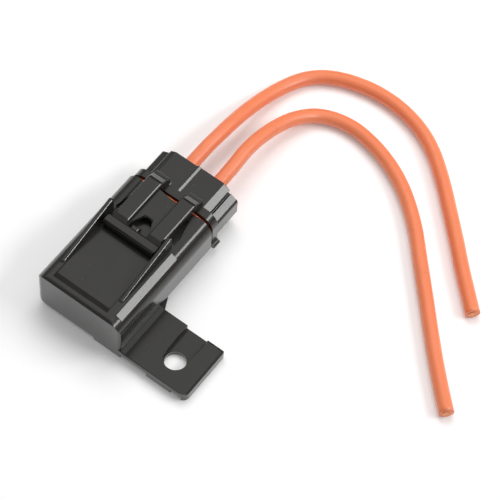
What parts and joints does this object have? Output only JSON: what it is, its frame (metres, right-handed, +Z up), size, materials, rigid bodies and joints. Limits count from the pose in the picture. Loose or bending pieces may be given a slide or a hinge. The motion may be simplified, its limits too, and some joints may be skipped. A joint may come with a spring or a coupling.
{
  "type": "inline fuse holder",
  "caption": "Sealed inline blade fuse holder with a pull-off cover, side mounting tab, flexible latch arm and insulated leads with bare cut ends.",
  "frame": {"origin": "centre of the mounting hole, on the surface that the tab is fixed to", "axes": "+X along the holder from the cover's closed end to the leads, +Z up out of the mounting surface along the hole"},
  "size_m": [0.1139, 0.1091, 0.0212],
  "materials": {
    "cover_plastic": "semi-gloss black",
    "holder_plastic": "semi-gloss black",
    "seal_silicone": "satin",
    "fuse_case_plastic": "translucent",
    "fuse_metal": "bright stamped zinc",
    "terminal_brass": "tinned brass",
    "copper_strand": "bare copper strands",
    "lead_insulation": "satin orange"
  },
  "bodies": {
    "cover": {"cover": "cover_plastic"},
    "holder": {"holder": "holder_plastic", "perimeter_seal": "seal_silicone", "fuse_case": "fuse_case_plastic", "fuse_element": "fuse_metal", "terminal_1": "terminal_brass", "terminal_2": "terminal_brass", "cable_seal_1": "seal_silicone", "cable_seal_2": "seal_silicone", "wire_tail_1": "lead_insulation", "wire_tail_2": "lead_insulation", "conductor_1": "copper_strand", "conductor_2": "copper_strand", "lead_1": "lead_insulation", "lead_2": "lead_insulation"},
    "latch_arm": {"latch_arm": "holder_plastic"}
  },
  "joints": [
    {"name": "holder_slide", "type": "slide", "parent": "cover", "child": "holder", "axis": [1, 0, 0], "range_m": [0, 0.04], "deforming": ["latch_arm"]},
    {"name": "latch_flex", "type": "hinge", "parent": "holder", "child": "latch_arm", "pos_m": [0.0348, 0.0271, 0.0169], "axis": [0, 1, 0], "range_deg": [0, 8], "stiffness_Nm_per_rad": 0.3}
  ]
}
